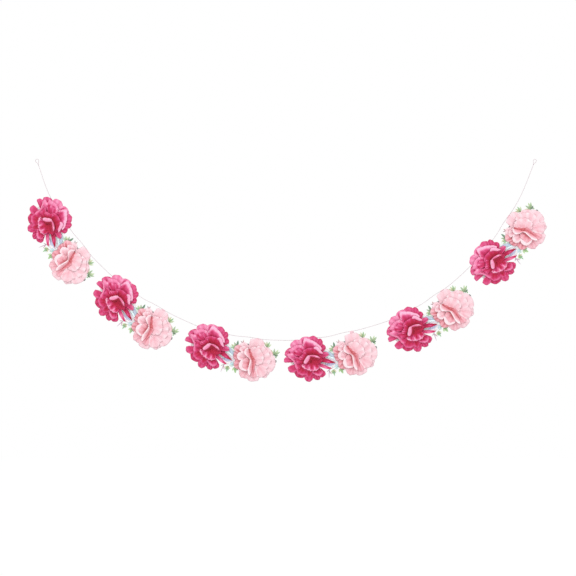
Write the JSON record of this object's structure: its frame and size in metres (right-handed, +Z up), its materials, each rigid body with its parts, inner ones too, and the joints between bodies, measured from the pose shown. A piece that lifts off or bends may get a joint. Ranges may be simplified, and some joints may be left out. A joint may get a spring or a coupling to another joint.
{
  "type": "paper flower garland",
  "caption": "Hanging garland of paired magenta and pale pink paper flowers on die-cut cards that swing on a string with a tied loop at each end.",
  "frame": {"origin": "midway between the two points that the end loops hang from, in the plane of the string", "axes": "+X along the garland, to the right as seen from the front; +Z up; the flowers face -Y"},
  "size_m": [1.5741, 0.0353, 0.6762],
  "materials": {
    "string": "matte",
    "card": "matte",
    "leaf": "matte",
    "strip": "matte",
    "magenta_outer_petals": "matte",
    "magenta_middle_petals": "matte",
    "magenta_heart": "matte",
    "pale_outer_petals": "matte",
    "pale_inner_petals": "matte"
  },
  "bodies": {
    "string": {"string": "string", "left_loop": "string", "left_knot": "string", "right_loop": "string", "right_knot": "string"},
    "flower_pair_1": {"flower_card_1": "card", "leaf_spray_1": "leaf", "left_hanging_strip_1": "strip", "magenta_heart_1": "magenta_heart", "magenta_middle_petals_1": "magenta_middle_petals", "magenta_outer_petals_1": "magenta_outer_petals", "pale_inner_petals_1": "pale_inner_petals", "pale_outer_petals_1": "pale_outer_petals", "right_hanging_strip_1": "strip"},
    "flower_pair_2": {"flower_card_2": "card", "leaf_spray_2": "leaf", "left_hanging_strip_2": "strip", "magenta_heart_2": "magenta_heart", "magenta_middle_petals_2": "magenta_middle_petals", "magenta_outer_petals_2": "magenta_outer_petals", "pale_inner_petals_2": "pale_inner_petals", "pale_outer_petals_2": "pale_outer_petals", "right_hanging_strip_2": "strip"},
    "flower_pair_3": {"flower_card_3": "card", "leaf_spray_3": "leaf", "left_hanging_strip_3": "strip", "magenta_heart_3": "magenta_heart", "magenta_middle_petals_3": "magenta_middle_petals", "magenta_outer_petals_3": "magenta_outer_petals", "pale_inner_petals_3": "pale_inner_petals", "pale_outer_petals_3": "pale_outer_petals", "right_hanging_strip_3": "strip"},
    "flower_pair_4": {"flower_card_4": "card", "leaf_spray_4": "leaf", "left_hanging_strip_4": "strip", "magenta_heart_4": "magenta_heart", "magenta_middle_petals_4": "magenta_middle_petals", "magenta_outer_petals_4": "magenta_outer_petals", "pale_inner_petals_4": "pale_inner_petals", "pale_outer_petals_4": "pale_outer_petals", "right_hanging_strip_4": "strip"},
    "flower_pair_5": {"flower_card_5": "card", "leaf_spray_5": "leaf", "left_hanging_strip_5": "strip", "magenta_heart_5": "magenta_heart", "magenta_middle_petals_5": "magenta_middle_petals", "magenta_outer_petals_5": "magenta_outer_petals", "pale_inner_petals_5": "pale_inner_petals", "pale_outer_petals_5": "pale_outer_petals", "right_hanging_strip_5": "strip"},
    "flower_pair_6": {"flower_card_6": "card", "leaf_spray_6": "leaf", "left_hanging_strip_6": "strip", "magenta_heart_6": "magenta_heart", "magenta_middle_petals_6": "magenta_middle_petals", "magenta_outer_petals_6": "magenta_outer_petals", "pale_inner_petals_6": "pale_inner_petals", "pale_outer_petals_6": "pale_outer_petals", "right_hanging_strip_6": "strip"}
  },
  "joints": [
    {"name": "flower_pair_1_swing", "type": "hinge", "parent": "string", "child": "flower_pair_1", "pos_m": [-0.64357, 0, -0.21639], "axis": [0.585, 0, -0.8111], "range_deg": [-75, 75]},
    {"name": "flower_pair_2_swing", "type": "hinge", "parent": "string", "child": "flower_pair_2", "pos_m": [-0.4323, 0, -0.41589], "axis": [0.848, 0, -0.5299], "range_deg": [-75, 75]},
    {"name": "flower_pair_3_swing", "type": "hinge", "parent": "string", "child": "flower_pair_3", "pos_m": [-0.15811, 0, -0.52864], "axis": [0.9836, 0, -0.1805], "range_deg": [-75, 75]},
    {"name": "flower_pair_4_swing", "type": "hinge", "parent": "string", "child": "flower_pair_4", "pos_m": [0.12516, 0, -0.532], "axis": [0.9863, 0, 0.165], "range_deg": [-75, 75]},
    {"name": "flower_pair_5_swing", "type": "hinge", "parent": "string", "child": "flower_pair_5", "pos_m": [0.40764, 0, -0.43444], "axis": [0.859, 0, 0.512], "range_deg": [-75, 75]},
    {"name": "flower_pair_6_swing", "type": "hinge", "parent": "string", "child": "flower_pair_6", "pos_m": [0.62897, 0, -0.23189], "axis": [0.5892, 0, 0.808], "range_deg": [-75, 75]}
  ]
}
